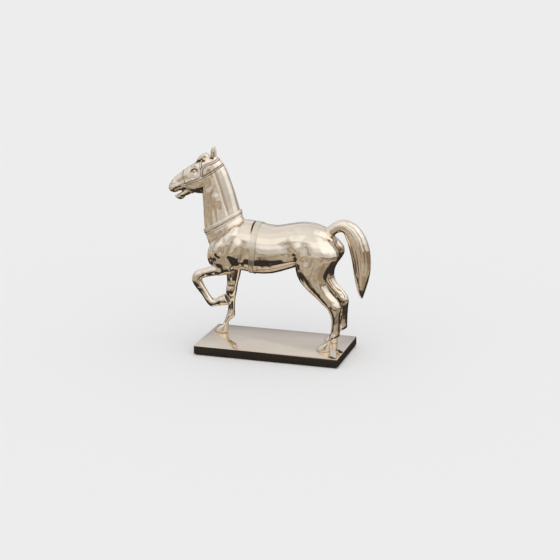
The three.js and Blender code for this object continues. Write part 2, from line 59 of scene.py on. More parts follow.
# How far round its dowel each casting's joint is sawn, in mm. The torso is what is left.
SAWN_WITHIN = {
    "neck_and_head": 36,
    "left_foreleg": 8,
    "right_foreleg": 12,
    "left_hind_leg": 18,
    "right_hind_leg": 18,
    "tail": 9,
}
CASTINGS = ("torso", *SAWN_WITHIN)
DOWELS = tuple(node for node in sorted(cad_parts) if node.endswith("_dowel"))
PLATE_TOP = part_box("base_plate")[1].z / MM
BESIDE = 60  # mm from the middle plane, well outside the horse

# ---------------------------------------------------------------- sculpting strokes
# Each stroke is (radius, height, path), in mm. A path of (x, z) points lies on both flanks, in the
# side view. A path of (x, y, z) points lies in space. A negative height is a groove.
BODY_STROKES = (
    # shoulder blade, its hollow in front, the triceps and the groove behind the elbow
    (9, 0.9, ((34, 128), (44, 118), (54, 108), (58, 101))),
    (5, -0.9, ((44, 129), (55, 119), (64, 110))),
    (10, 1.3, ((31, 118), (37, 107), (42, 97))),
    (4.5, -1.3, ((27, 118), (29, 106), (32, 94))),
    (5, 1.0, ((56, 111), (57, 106))),
    (3.5, -0.8, ((48, 119), (49.5, 110), (52, 101))),
    (6, 0.9, ((61, 99), (66, 97))),
    (5, 0.9, ((38, 90), (40, 88))),
    # ribs, flank, hip and thigh
    (9, 0.6, ((16, 108), (-2, 106), (-14, 108))),
    (8, -1.4, ((-13, 121), (-19, 110), (-21, 101))),
    (7, 1.1, ((-22, 125), (-24, 122))),
    (6, 1.2, ((-26, 120), (-30, 107), (-26, 94))),
    (4.5, -1.0, ((-35, 121), (-39, 109), (-37, 97))),
    (6, -0.6, ((-53, 128), (-58, 114), (-57, 100), (-50, 86))),
    (8, 0.4, ((-40, 86), (-49, 74))),
    # line of the back, and the cleft between the buttocks
    (4, -0.5, ((12, 0, 132), (-10, 0, 133), (-30, 0, 137), (-48, 0, 135))),
    (4.5, -1.8, ((-62, 0, 120), (-66, 0, 108), (-60, 0, 94), (-50, 0, 84))),
    # slit in front of the girth, near the top
    (1.3, -1.6, ((22, 148), (21.4, 136), (20.9, 124))),
    # hollow sole of the raised hoof
    (5.6, -2.2, ((45.6, 14.2, 54.2), (46.4, 14.2, 54.6))),
    # breast bone
    (4, -1.0, ((72, 0, 112), (71, 0, 98), (64, 0, 86))),
)
LEG_STROKES = (
    # gaskin and hock of the hind legs
    (3.4, -0.6, ((-54, 82), (-60.5, 71), (-66, 63.5))),
    (3.5, 0.5, ((-66, 57.5), (-67, 56))),
    (2, -0.4, ((-60.5, 62), (-62, 55))),
    (1.8, -0.25, ((-68.4, 51), (-68.4, 42), (-68, 31))),
    (2.4, 0.35, ((-66.2, 26.5), (-65.4, 25))),
    # hoof line of the hind hooves
    (1.3, 0.5, ((-50.4, 18.6), (-55, 19.6), (-60.8, 19.2))),
    # standing foreleg
    (3, -0.5, ((46, 84), (46.6, 72), (48, 63))),
    (3.4, 0.5, ((53, 82), (53, 70))),
    (2.6, 0.45, ((53.4, 57), (53.6, 54))),
    (1.6, -0.4, ((46.5, 61), (51, 60.4), (56, 61))),
    (1.6, -0.4, ((47, 50.6), (52, 50), (56.6, 50.6))),
    (1.4, -0.5, ((51, 47), (50.9, 39), (51, 32))),
    (2.2, 0.35, ((52.4, 29), (53, 28))),
    (1.3, 0.5, ((54.8, 17.4), (59, 19.4), (64.6, 19.2))),
    # raised foreleg: forearm, knee, cannon and hoof line
    (3.4, 0.5, ((60, 84.6), (70, 81.6))),
    (2.6, -0.45, ((58, 80.6), (68, 77.8))),
    (1.7, -0.4, ((73.4, 82.6), (75.4, 76.4))),
    (1.6, -0.35, ((76, 66), (81.4, 69.4))),
    (1.4, -0.5, ((73.6, 64), (70, 58), (66.6, 53.4))),
    (1.3, 0.5, ((56.2, 56), (57.6, 50.6), (58.4, 46.4))),
)
HEAD_STROKES = (
    # windpipe groove, folds low on the neck and the line under the mane
    (4.5, -0.9, ((70, 158), (69.6, 145), (67.6, 133), (63, 118))),
    (5.5, 0.9, ((59.5, 157), (59, 154))),
    (2.6, -0.5, ((62, 150), (60.6, 140), (58, 128))),
    (2.6, -0.45, ((55.4, 150), (55, 140), (53, 130))),
    (2.4, -0.8, ((67, 191), (60.4, 180), (55.8, 168), (52, 156), (47.6, 143), (43, 130))),
    # cheek with its hollow behind, and the throat
    (8, 0.8, ((77, 170), (79, 167))),
    (4, -0.9, ((67.4, 186), (65.4, 177), (66.4, 169), (70, 163))),
    (2.2, 0.4, ((72, 184), (69.6, 176), (71.4, 167), (76, 162))),
    # face bone, hollow over the eye, nose and lip
    (2.2, 0.6, ((84, 173.4), (92, 169.6))),
    (3, -0.8, ((90, 176), (97, 171.6), (103, 168.6))),
    (2.2, -0.5, ((88, 184), (85, 187.4))),
    (3, 0.5, ((103, 165), (107, 163))),
    (1.6, -0.6, ((96.6, 165.6), (101, 164), (106, 161.8))),
    (1.4, 0.5, ((98, 161.2), (103, 160.2), (108, 160.2))),
    (4, 0.7, ((109, 0, 161), (106, 0, 160))),
    # lower lip, chin and the hollow behind it
    (1.2, 0.4, ((97, 158), (101, 155.8), (105, 155))),
    (4.4, 1.5, ((101.4, 0, 153.4), (99.4, 0, 153.2))),
    (2.6, -1.3, ((94.8, 0, 154), (94, 0, 155))),
    # underside of the forelock, and two locks in it
    (1.3, -1.7, ((83.6, 190), (80, 191.8), (76, 192.9), (72, 193))),
    (1.0, -0.4, ((81, 193.6), (76.6, 196.6), (72, 198))),
)
# The eye and nostril are built up from a socket, a ball or rim and lids.
EYE_STROKES = (
    (4, -1.2, ((83.6, 182.4), (81.4, 182.2))),
    (2.1, 1.5, ((83.2, 182.2), (82.4, 182.1))),
    (1.1, 0.8, ((86.8, 180.6), (85.2, 183.9), (82.2, 185.1), (79, 183.4))),
    (0.9, 0.5, ((86.6, 180.4), (83.4, 179.4), (79.8, 181.2))),
    (2.4, 0.9, ((87.4, 186.2), (83, 187.8), (79, 187.4))),
    (1.8, -2.8, ((108.8, 171.6), (109.6, 169.8))),
    (1.0, 0.6, ((106.6, 172.4), (106.6, 169.6), (108.2, 167.8), (110, 167.8))),
)
# Lines of painted shade, nearly black: the slit by the girth and the raised sole, and then the
# forelock's underside, the nostril, the corner of the mouth and the roots of the ears.
BODY_PAINTED_SHADE = (
    (1.5, ((22, 148), (21.4, 136), (20.9, 124))),
    (5.4, ((43, 14.2, 52.6), (46, 14.2, 54.4), (49, 14.2, 56.2))),
)
HEAD_PAINTED_SHADE = (
    (1.5, ((84.4, 189.6), (80, 191.8), (76, 192.9), (71, 193))),
    (1.9, ((107.8, 173), (109, 171), (110, 169))),
    (1.6, ((92, 164.4), (96, 162.6), (100, 160.6))),
    (1.1, ((87.4, 180), (85.4, 183.4), (82, 184.8), (78.6, 183))),
    (1.3, ((67.8, 195.4), (65.6, 196.2), (62.6, 195.4))),
)
# The ears are cut hollow towards the front and outside.
EAR_HOLLOWS = tuple((1.7, -1.3, ((66.6, side * 4.2, 197), (66.2, side * 4.6, 202))) for side in (1, -1))

# Middle lines of the straps in the side view, each from where it starts to past where it ends.
BIT_BOSS = (93.6, 167.4)
ROSETTE = (75.7, 175.6)
STRAP_LINES = {
    "noseband": (BIT_BOSS, (94.8, 171.5), (96.6, 176), (97, 181), (95.6, 187)),
    "chin_strap": (BIT_BOSS, (90.6, 163.6), (87.4, 160), (84.6, 154)),
    "cheek_strap": (BIT_BOSS, (86.2, 171.6), (79.5, 173.6), ROSETTE),
    "crownpiece": (ROSETTE, (74.4, 180), (74.8, 185), (70.6, 188.8), (62.6, 192), (55, 198)),
    "brow_strap": ((75.7, 185.4), (76.2, 189), (76.4, 193.4)),
    "throat_lash": (ROSETTE, (67, 180), (59.6, 185.4), (52.4, 191.2), (48, 195)),
    "girth_strap": ((17.6, 147), (17, 122), (17.2, 107), (19.2, 95), (22, 84), (23, 74)),
}
# Grooves between locks of hair run along the tail, at these distances across it, and draw together
# where it is narrower.
TAIL_LINE = (
    (-64, 134),
    (-70, 135),
    (-77, 130.6),
    (-82.6, 122),
    (-86.2, 111),
    (-88.2, 99),
    (-88.8, 87),
    (-89, 72),
)
TAIL_SPREAD = (0.7, 0.75, 0.95, 1.1, 1.15, 1.0, 0.8, 0.35)
TAIL_LOCKS = (-5.2, -2.6, 0.2, 3.0, 5.4)
TAIL_GROOVE = (1.5, -0.5)  # radius and height


# ---------------------------------------------------------------- settings
class ModelSettings(bpy.types.PropertyGroup):
    """Sizes of the modelled surface."""

    body_grain: FloatProperty(
        name="Body grain", description="Mesh size on the body", default=0.6 * MM, unit="LENGTH"
    )
    head_grain: FloatProperty(
        name="Head grain", description="Mesh size on the head", default=0.42 * MM, unit="LENGTH"
    )
    fill: FloatProperty(
        name="Fill",
        description="How far the castings swell to close their joints",
        default=0.25 * MM,
        unit="LENGTH",
    )
    softening: FloatProperty(
        name="Softening", description="Width over which edges between masses are rounded, in mm", default=4.2
    )


class HarnessSettings(bpy.types.PropertyGroup):
    """Sizes of the straps and bosses."""

    strap_width: FloatProperty(
        name="Strap width", description="Bridle straps", default=1.6 * MM, unit="LENGTH"
    )
    strap_thickness: FloatProperty(
        name="Strap thickness", description="Bridle straps", default=0.75 * MM, unit="LENGTH"
    )
    lash_width: FloatProperty(
        name="Lash width", description="Strap over the crest", default=1.2 * MM, unit="LENGTH"
    )
    girth_width: FloatProperty(
        name="Girth width", description="Strap round the barrel", default=6 * MM, unit="LENGTH"
    )
    girth_thickness: FloatProperty(
        name="Girth thickness", description="Same strap", default=0.8 * MM, unit="LENGTH"
    )
    boss_radius: FloatProperty(
        name="Boss radius", description="Bit bosses and rosettes", default=2.1 * MM, unit="LENGTH"
    )


class FinishSettings(bpy.types.PropertyGroup):
    """Colours, as sRGB hex values."""

    bronze: StringProperty(name="Bronze", description="Polished bronze", default="F0E2CE")
    patina: StringProperty(name="Patina", description="Bronze left in the hollows", default="9A7C60")
    plate: StringProperty(name="Plate", description="Polished plate", default="E6D7C4")
    felt: StringProperty(name="Felt", description="Felt under the plate", default="26231F")
    steel: StringProperty(name="Steel", description="Screws, washers and dowels", default="A7A39C")
    floor: StringProperty(name="Floor", description="Studio floor", default="F5F2EE")
    card: StringProperty(name="Card", description="Reflected card near the plate", default="3A3735")
    middle_card: StringProperty(name="Light card", description="Light patches round that", default="CBC1B2")
    far_card: StringProperty(name="Deep card", description="Deeper patches among them", default="A39480")
    card_rim: StringProperty(name="Card rim", description="Far edge of the card", default="D9D3CA")
    side_card: StringProperty(name="Side card", description="Card behind the tail", default="8E7C68")


class StageSettings(bpy.types.PropertyGroup):
    """Camera and studio."""

    azimuth: FloatProperty(
        name="Azimuth",
        description="Camera's turn round the piece",
        default=math.radians(196.92),
        subtype="ANGLE",
    )
    elevation: FloatProperty(
        name="Elevation",
        description="Camera above the horizon",
        default=math.radians(15.8),
        subtype="ANGLE",
    )
    distance: FloatProperty(name="Distance", description="Camera to target", default=1.49, unit="LENGTH")
    target: FloatVectorProperty(
        name="Target",
        description="What the camera looks at",
        default=(-0.0052, 0.0026, 0.0755),
        subtype="TRANSLATION",
    )
    lens: FloatProperty(name="Lens", description="Focal length in mm", default=95.46, unit="CAMERA")
    world_light: FloatProperty(name="World light", description="Strength of the studio's light", default=0.92)


# ---------------------------------------------------------------- materials
def linear(code):
    """Linear RGBA of an sRGB hex colour."""
    parts = [int(code[i : i + 2], 16) / 255 for i in (0, 2, 4)]
    return tuple(c / 12.92 if c <= 0.04045 else ((c + 0.055) / 1.055) ** 2.4 for c in parts) + (1,)


SMOOTH = {"interpolation_type": "SMOOTHSTEP"}  # for a Map Range node
COLOURS = {"data_type": "RGBA"}  # for a Mix node, whose inputs are then 0, 6 and 7 and its output is 2


def node(tree, kind, settings=(), **links):
    """Adds a node. Settings are attributes, or inputs by name or number, each with a value or a socket
    to join to. Links join inputs to sockets by name."""
    made = tree.nodes.new(kind)
    for key, value in dict(settings).items():
        if isinstance(value, bpy.types.NodeSocket):
            tree.links.new(value, made.inputs[key])
        elif isinstance(key, int) or key in made.inputs:
            made.inputs[key].default_value = value
        else:
            setattr(made, key, value)
    for key, socket in links.items():
        tree.links.new(socket, made.inputs[key.replace("_", " ")])
    return made


def new_material(name):
    """A material, its empty tree and the object coordinates that its patterns start from."""
    material = bpy.data.materials.new(name)
    material.use_nodes = True
    tree = material.node_tree
    tree.nodes.clear()
    return material, tree, node(tree, "ShaderNodeTexCoord").outputs["Object"]


def surface(tree, settings, **links):
    """The shader and output that end a material."""
    shader = node(tree, "ShaderNodeBsdfPrincipled", settings, **links)
    node(tree, "ShaderNodeOutputMaterial", Surface=shader.outputs["BSDF"])


PAINTED_SHADE = "2E2620"  # painted shadow, nearly black, close beside straps and along the painted shade lines


def polished_bronze(name, bright, dark, roughness):
    """Cast bronze, hand polished: clear reflections that swim a little, and warmer, duller metal in the
    hollows as patina and painted shade, with nearly black painted shadow beside straps and on the painted
    shade lines. Colour clouds are 30 mm wide, and the swimming comes from dents about 9 mm and 2.5 mm wide."""
    material, tree, place = new_material(name)
    clouds = node(tree, "ShaderNodeTexNoise", {"Scale": 1 / 0.03, "Detail": 3.0}, Vector=place)
    # Patina and painted shade in the hollows, up to 1, and painted shadow beside straps and on the painted
    # shade lines, up to 2.
    hollow = node(tree, "ShaderNodeAttribute", {"attribute_name": "hollow"})
    worn = node(
        tree, "ShaderNodeMath", {"operation": "MULTIPLY_ADD", 0: clouds.outputs["Fac"], 1: 0.16, 2: -0.04}
    )
    # How far patina and painted shade, with the colour clouds, darken and dull the bronze.
    reach = node(
        tree,
        "ShaderNodeMath",
        {"operation": "ADD", "use_clamp": True, 0: worn.outputs[0], 1: hollow.outputs["Fac"]},
    )
    colour = node(
        tree, "ShaderNodeMix", {**COLOURS, 0: reach.outputs[0], 6: linear(bright), 7: linear(dark)}
    )
    # Past 1 the bronze turns to nearly black painted shadow.
    painted_shade_share = node(tree, "ShaderNodeMapRange", {"From Min": 1.0, "From Max": 1.8}, Value=hollow.outputs["Fac"])
    colour_with_painted_shade = node(
        tree, "ShaderNodeMix", {**COLOURS, 0: painted_shade_share.outputs[0], 6: colour.outputs[2], 7: linear(PAINTED_SHADE)}
    )
    gloss = node(
        tree,
        "ShaderNodeMapRange",
        {"To Min": roughness, "To Max": roughness + 0.3},
        Value=reach.outputs[0],
    )
    wide = node(tree, "ShaderNodeTexNoise", {"Scale": 1 / 0.009, "Detail": 2.0}, Vector=place)
    fine = node(tree, "ShaderNodeTexNoise", {"Scale": 1 / 0.0025, "Detail": 4.0}, Vector=place)
    dents = node(tree, "ShaderNodeBump", {"Strength": 0.6, "Distance": 0.00025}, Height=wide.outputs["Fac"])
    grain = node(
        tree,
        "ShaderNodeBump",
        {"Strength": 0.25, "Distance": 0.00002},
        Height=fine.outputs["Fac"],
        Normal=dents.outputs["Normal"],
    )
    surface(
        tree,
        {"Metallic": 1.0},
        Base_Color=colour_with_painted_shade.outputs[2],
        Roughness=gloss.outputs[0],
        Normal=grain.outputs["Normal"],
    )
    return material


def lapped_plate(name, bright, dark):
    """Flat bronze, lapped and buffed: one clear mirror with faint straight buffing lines 0.4 mm apart and
    soft clouds of tarnish 40 mm wide."""
    material, tree, place = new_material(name)
    clouds = node(tree, "ShaderNodeTexNoise", {"Scale": 1 / 0.04, "Detail": 4.0}, Vector=place)
    share = node(
        tree,
        "ShaderNodeMapRange",
        {"From Min": 0.35, "From Max": 0.8, "To Max": 0.22},
        Value=clouds.outputs["Fac"],
    )
    colour = node(
        tree, "ShaderNodeMix", {**COLOURS, 0: share.outputs[0], 6: linear(bright), 7: linear(dark)}
    )
    stretch = node(tree, "ShaderNodeMapping", {"Scale": (0.02, 1.0, 1.0)}, Vector=place)
    lines = node(tree, "ShaderNodeTexNoise", {"Scale": 1 / 0.0004, "Detail": 2.0}, Vector=stretch.outputs[0])
    gloss = node(
        tree, "ShaderNodeMapRange", {"To Min": 0.05, "To Max": 0.14}, Value=lines.outputs["Fac"]
    )
    bump = node(tree, "ShaderNodeBump", {"Strength": 0.12, "Distance": 0.00001}, Height=lines.outputs["Fac"])
    surface(
        tree,
        {"Metallic": 1.0},
        Base_Color=colour.outputs[2],
        Roughness=gloss.outputs[0],
        Normal=bump.outputs["Normal"],
    )
    return material


def turned_steel(name, code):
    """Plain carbon steel off the lathe: grey, with turning lines 0.2 mm apart."""
    material, tree, place = new_material(name)
    rings = node(tree, "ShaderNodeTexNoise", {"Scale": 1 / 0.0002, "Detail": 2.0}, Vector=place)
    gloss = node(
        tree, "ShaderNodeMapRange", {"To Min": 0.3, "To Max": 0.5}, Value=rings.outputs["Fac"]
    )
    bump = node(tree, "ShaderNodeBump", {"Strength": 0.3, "Distance": 0.00001}, Height=rings.outputs["Fac"])
    surface(
        tree,
        {"Metallic": 1.0, "Base Color": linear(code)},
        Roughness=gloss.outputs[0],
        Normal=bump.outputs["Normal"],
    )
    return material


def wool_felt(name, code):
    """Dense wool felt: matt and dark, with matted fibres about 0.5 mm across that catch a little light."""
    material, tree, place = new_material(name)
    fibres = node(
        tree, "ShaderNodeTexNoise", {"Scale": 1 / 0.0005, "Detail": 6.0, "Roughness": 0.7}, Vector=place
    )
    lighter = tuple(min(1.0, 2.6 * c) for c in linear(code)[:3]) + (1,)
    colour = node(
        tree, "ShaderNodeMix", {**COLOURS, 0: fibres.outputs["Fac"], 6: linear(code), 7: lighter}
    )
    bump = node(tree, "ShaderNodeBump", {"Strength": 0.8, "Distance": 0.0002}, Height=fibres.outputs["Fac"])
    surface(
        tree,
        {"Roughness": 0.95, "Sheen Weight": 0.4, "Sheen Roughness": 0.5},
        Base_Color=colour.outputs[2],
        Normal=bump.outputs["Normal"],
    )
    return material


def finish(name):
    """The named material, made the first time that it is asked for."""
    if name in bpy.data.materials:
        return bpy.data.materials[name]
    colours = bpy.context.scene.statuette_finish
    makers = {
        "polished_bronze": lambda: polished_bronze(name, colours.bronze, colours.patina, 0.07),
        "harness_bronze": lambda: polished_bronze(name, colours.bronze, colours.patina, 0.11),
        "lapped_bronze_plate": lambda: lapped_plate(name, colours.plate, colours.patina),
        "turned_steel": lambda: turned_steel(name, colours.steel),
        "wool_felt": lambda: wool_felt(name, colours.felt),
    }
    return makers[name]()


# ---------------------------------------------------------------- small helpers
def deselect():
    for thing in bpy.context.selected_objects:
        thing.select_set(False)


def activate(thing):
    deselect()
    thing.select_set(True)
    bpy.context.view_layer.objects.active = thing


def apply_modifier(thing, kind, **settings):
    modifier = thing.modifiers.new(kind.title(), kind)
    for key, value in settings.items():
        setattr(modifier, key, value)
    activate(thing)
    bpy.ops.object.modifier_apply(modifier=modifier.name)


def link_mesh(name, points, faces):
    """A new object from points in mm."""
    mesh = bpy.data.meshes.new(name)
    mesh.from_pydata([tuple(c * MM for c in p) for p in points], [], faces)
    thing = bpy.data.objects.new(name, mesh)
    bpy.context.scene.collection.objects.link(thing)
    return thing


def link_bmesh(name, bm):
    mesh = bpy.data.meshes.new(name)
    bm.to_mesh(mesh)
    bm.free()
    thing = bpy.data.objects.new(name, mesh)
    bpy.context.scene.collection.objects.link(thing)
    return thing


def hand_over(piece, slot, material, *nodes):
    """A finished piece gets its finish, rides on the one body and stands for its CAD nodes."""
    piece.data.materials.clear()
    piece.data.materials.append(finish(material))
    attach(piece, "root")
    if nodes:
        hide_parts(*nodes)


def points_of(node_name):
    """A CAD node's corners, in mm."""
    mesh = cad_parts[node_name].data
    co = np.empty(len(mesh.vertices) * 3)
    mesh.vertices.foreach_get("co", co)
    return co.reshape(-1, 3) / MM


def joint_of(limb):
    """A casting's sawn joint, from the dowel that crosses it: centre, direction and reach, in mm."""
    dowel = "neck_dowel" if limb == "neck_and_head" else limb + "_dowel"
    co = points_of(dowel)
    centre = (co.min(0) + co.max(0)) / 2
    axis = np.linalg.svd(co - centre, full_matrices=False)[2][0]
    limb_middle = points_of(limb).mean(0)
    way = axis if (limb_middle - centre) @ axis > 0 else -axis
    return centre, way, SAWN_WITHIN[limb]


# ---------------------------------------------------------------- the wax: one fine mesh to sculpt
BED_MARGIN = 0.8  # mm that a strap's bed is wider on each side
BED_DEPTH = 0.3  # mm
OPEN_DEPTH = 0.12  # in mesh steps: what lies no deeper than this gets no patina or painted shade
DEPTH_GAIN = 1.6
SOLE_REACH = 0.45  # mm over the plate within which a hoof is pressed flat
HEAD_SOFTENING = 0.62  # of the body's, because the head's forms are smaller


class Wax:
    """A mesh whose points are moved in code, in mm."""

    def __init__(self, thing):
        self.thing = thing
        mesh = thing.data
        co = np.empty(len(mesh.vertices) * 3)
        mesh.vertices.foreach_get("co", co)
        self.co = co.reshape(-1, 3) / MM
        edges = np.empty(len(mesh.edges) * 2, np.int64)
        mesh.edges.foreach_get("vertices", edges)
        self.a, self.b = edges.reshape(-1, 2).T
        count = len(self.co)
        self.degree = np.bincount(self.a, minlength=count) + np.bincount(self.b, minlength=count)

    def spacing(self):
        return np.linalg.norm(self.co[self.a] - self.co[self.b], axis=1).mean()

    def around(self, values):
        """The mean of each point's neighbours."""
        count = len(self.co)
        columns = [
            np.bincount(self.a, column[self.b], count) + np.bincount(self.b, column[self.a], count)
            for column in values.T
        ]
        return np.stack(columns, 1) / self.degree[:, None]

    def round_edges(self, width):
        """Takes out facets and creases narrower than width, in mm, and keeps the volume."""
        kept_wave = 2.2 * width  # mm: shapes longer than this stay
        passband = (1 - math.cos(2 * math.pi * self.spacing() / kept_wave)) / 2
        inward = 0.6
        outward = 1 / (1 / inward - passband)
        passes = int(1.1 / (inward * passband) ** 1.15)
        for _ in range(passes):
            self.co += inward * (self.around(self.co) - self.co)
            self.co -= outward * (self.around(self.co) - self.co)

    def melt(self, share, passes):
        """Plain smoothing, weighted point by point."""
        for _ in range(passes):
            self.co += share[:, None] * 0.5 * (self.around(self.co) - self.co)

    def write(self):
        self.thing.data.vertices.foreach_set("co", (self.co * MM).ravel())
        self.thing.data.update()

    def normals(self):
        self.write()
        out = np.empty(len(self.co) * 3, np.float32)
        self.thing.data.vertex_normals.foreach_get("vector", out)
        return out.reshape(-1, 3).astype(float)

    def reach(self, path, radius, taper=False):
        """1 on the path, falling smoothly to 0 at radius, and with taper to 0 at both its ends."""
        path = np.array(path, float)
        co = self.co[:, [0, 2]] if path.shape[1] == 2 else self.co
        low, high = path.min(0) - radius, path.max(0) + radius
        inside = np.flatnonzero(((co > low) & (co < high)).all(1))
        near = np.full(len(inside), np.inf)
        place = np.zeros(len(inside))
        for i, (start, end) in enumerate(zip(path[:-1], path[1:])):
            run = end - start
            share = np.clip((co[inside] - start) @ run / (run @ run), 0, 1)
            gap = np.linalg.norm(co[inside] - start - share[:, None] * run, axis=1)
            place = np.where(gap < near, (i + share) / (len(path) - 1), place)
            near = np.minimum(near, gap)
        weight = np.clip(1 - (near / radius) ** 2, 0, 1) ** 2
        if taper:
            weight *= np.minimum(1, 6 * place * (1 - place))
        out = np.zeros(len(co))
        out[inside] = weight
        return out

    def stroke(self, radius, height, path, taper=True):
        """Raises the skin along a path. One in the side view fades where the skin turns up or down."""
        normals = self.normals()
        weight = self.reach(path, radius, taper and len(path) > 2)
        if len(path[0]) == 2:
            weight *= np.clip(1.4 * np.abs(normals[:, 1]), 0, 1)
        self.co += normals * (height * weight)[:, None]

    def bed(self, name, width):
        """A shallow bed under a strap, so that its edges stand in a groove."""
        self.stroke(width / 2 + BED_MARGIN, -BED_DEPTH, STRAP_LINES[name], taper=False)

    def mark_hollows(self, straps, painted_shade_lines):
        """Stores for the finish how deep each point lies, which it paints as patina and painted shade: 0 in
        the open, 1 in a hollow and 2 beside a strap or on a painted shade line, where it paints nearly black
        shadow. Straps are (name, width) pairs, and painted shade lines (radius, path) pairs."""
        normals = self.normals()
        smooth = self.co.copy()
        for _ in range(10):
            smooth = self.around(smooth)
        depth = ((smooth - self.co) * normals).sum(1) / self.spacing()
        level = np.clip((depth - OPEN_DEPTH) * DEPTH_GAIN, 0, 1)[:, None]
        for _ in range(3):
            level = self.around(level)
        # Painted shadow beside the straps and along the painted shade lines.
        marks = [self.reach(STRAP_LINES[name], 0.45 * width + 1.2) for name, width in straps]
        marks += [self.reach(path, radius, taper=True) for radius, path in painted_shade_lines]
        for mark in marks:
            level[:, 0] = np.maximum(level[:, 0], 2 * mark)
        # The level of patina and painted shade, read by the bronze finish.
        layer = self.thing.data.attributes.new("hollow", "FLOAT", "POINT")
        layer.data.foreach_set("value", level[:, 0].astype(np.float32))


def clay(name, nodes, grain, fill):
    """Copies of CAD castings, swollen to close their joints and remeshed as one skin."""
    bm = bmesh.new()
    for each in nodes:
        bm.from_mesh(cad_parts[each].data)
    bmesh.ops.remove_doubles(bm, verts=bm.verts, dist=1e-7)
    bm.normal_update()
    for vert in bm.verts:
        vert.co += vert.normal * fill
    thing = link_bmesh(name, bm)
    apply_modifier(thing, "REMESH", mode="VOXEL", voxel_size=grain, use_smooth_shade=True)
    activate(thing)
    bpy.ops.object.mode_set(mode="EDIT")
    bpy.ops.mesh.select_all(action="SELECT")
    bpy.ops.mesh.separate(type="LOOSE")
    bpy.ops.object.mode_set(mode="OBJECT")
    shells = sorted(bpy.context.selected_objects, key=lambda each: len(each.data.vertices))
    thing = shells.pop()
    for shell in shells:
        bpy.data.objects.remove(shell)
    thing.name = name
    wax = Wax(thing)
    wax.co -= wax.normals() * fill / MM
    return wax


def tail_paths():
    """The grooves in the tail, each beside its middle line."""
    line = np.array(TAIL_LINE, float)
    run = np.gradient(line, axis=0)
    side = np.stack([run[:, 1], -run[:, 0]], 1) / np.linalg.norm(run, axis=1)[:, None]
    spread = np.array(TAIL_SPREAD)[:, None]
    return [tuple(map(tuple, line + side * spread * offset)) for offset in TAIL_LOCKS]


def flatten_soles(wax):
    """The standing hooves sit flat on the plate."""
    low = wax.co[:, 2] < PLATE_TOP + SOLE_REACH
    wax.co[low, 2] = PLATE_TOP


# ---------------------------------------------------------------- sawing the wax into its castings
def saw(wax_object, cuts):
    """Cuts a mesh at planes, each within its reach of a point, and returns the faces of each island."""
    bm = bmesh.new()
    bm.from_mesh(wax_object.data)
    sawn = set()
    for centre, way, reach in cuts.values():
        middle = Vector(centre) * MM
        near = {vert for vert in bm.verts if (vert.co - middle).length < reach * MM}
        faces = [face for face in bm.faces if all(vert in near for vert in face.verts)]
        edges = {edge for face in faces for edge in face.edges}
        verts = {vert for face in faces for vert in face.verts}
        done = bmesh.ops.bisect_plane(
            bm, geom=[*verts, *edges, *faces], plane_co=middle, plane_no=Vector(way), dist=1e-7
        )
        sawn.update(each for each in done["geom_cut"] if isinstance(each, bmesh.types.BMEdge))
    bmesh.ops.split_edges(bm, edges=list(sawn))
    left = set(bm.faces)
    islands = []
    while left:
        island, front = set(), [left.pop()]
        while front:
            face = front.pop()
            island.add(face)
            for edge in face.edges:
                for other in edge.link_faces:
                    if other in left:
                        left.discard(other)
                        front.append(other)
        islands.append(island)
    return bm, islands


def cap_and_link(name, bm, island):
    """One island of a sawn mesh as a closed object, its sawn faces flat and sharp."""
    part = bmesh.new()
    # The level of patina and painted shade goes over to the casting.
    hollow_in = bm.verts.layers.float.get("hollow")
    hollow_out = part.verts.layers.float.new("hollow")
    twin = {}
    for face in island:
        for vert in face.verts:
            if vert not in twin:
                twin[vert] = part.verts.new(vert.co)
                twin[vert][hollow_out] = vert[hollow_in]
        part.faces.new([twin[vert] for vert in face.verts]).smooth = True
    rims = [edge for edge in part.edges if edge.is_boundary]
    caps = bmesh.ops.holes_fill(part, edges=rims, sides=0)["faces"]
    for cap in caps:
        cap.smooth = False
        for edge in cap.edges:
            edge.smooth = False
    bmesh.ops.recalc_face_normals(part, faces=part.faces)
    return link_bmesh(name, part)


# ---------------------------------------------------------------- straps laid on the castings
COURSE_STEP = 0.1  # mm between the points of a line in the side view
STRAP_STEP = 0.5  # mm between a strap's sections
END_WIDTH = 0.55  # of its width, at the very end of an open strap
COLLAR_REACH = 40  # mm each way from the joint's middle, past the neck's edges


def length_along(points):
    """How far along a line each of its points lies."""
    return np.concatenate([[0], np.cumsum(np.linalg.norm(np.diff(points, axis=0), axis=1))])


def course(name):
    """A strap's middle line in the side view, rounded through its points."""
    line = np.array(STRAP_LINES[name], float)
    length = length_along(line)
    steps = np.arange(0, length[-1], COURSE_STEP)
    even = np.stack([np.interp(steps, length, column) for column in line.T], 1)
    for _ in range(150):
        even[1:-1] = 0.5 * even[1:-1] + 0.25 * (even[2:] + even[:-2])
    return even


def straight_course(centre, way, half):
    """A straight line in the side view, square to way."""
    across = np.array([way[2], -way[0]]) / math.hypot(way[0], way[2])
    return np.array([centre[0], centre[2]]) + np.linspace(-half, half, 900)[:, None] * across


def skin_beside(tree, x, z, side):
    """Where a level line from beside the horse first meets it, and which way the skin faces there."""
    return tree.ray_cast(Vector((x, side * BESIDE, z)) * MM, Vector((0, -side, 0)), BESIDE * MM)[:2]


def lay(tree, line, sides, closed):
    """Points on the skin under a side-view line: down one side and, if asked, back up the other."""
    tracks = []
    for side in sides:
        track = []
        for x, z in line:
            found = skin_beside(tree, x, z, side)[0]
            if found is not None:
                track.append(np.array(found) / MM)
        tracks.append(track)
    whole = tracks[0] + (tracks[1][::-1] if len(tracks) > 1 else [])
    return resample(np.array(whole), STRAP_STEP, closed)


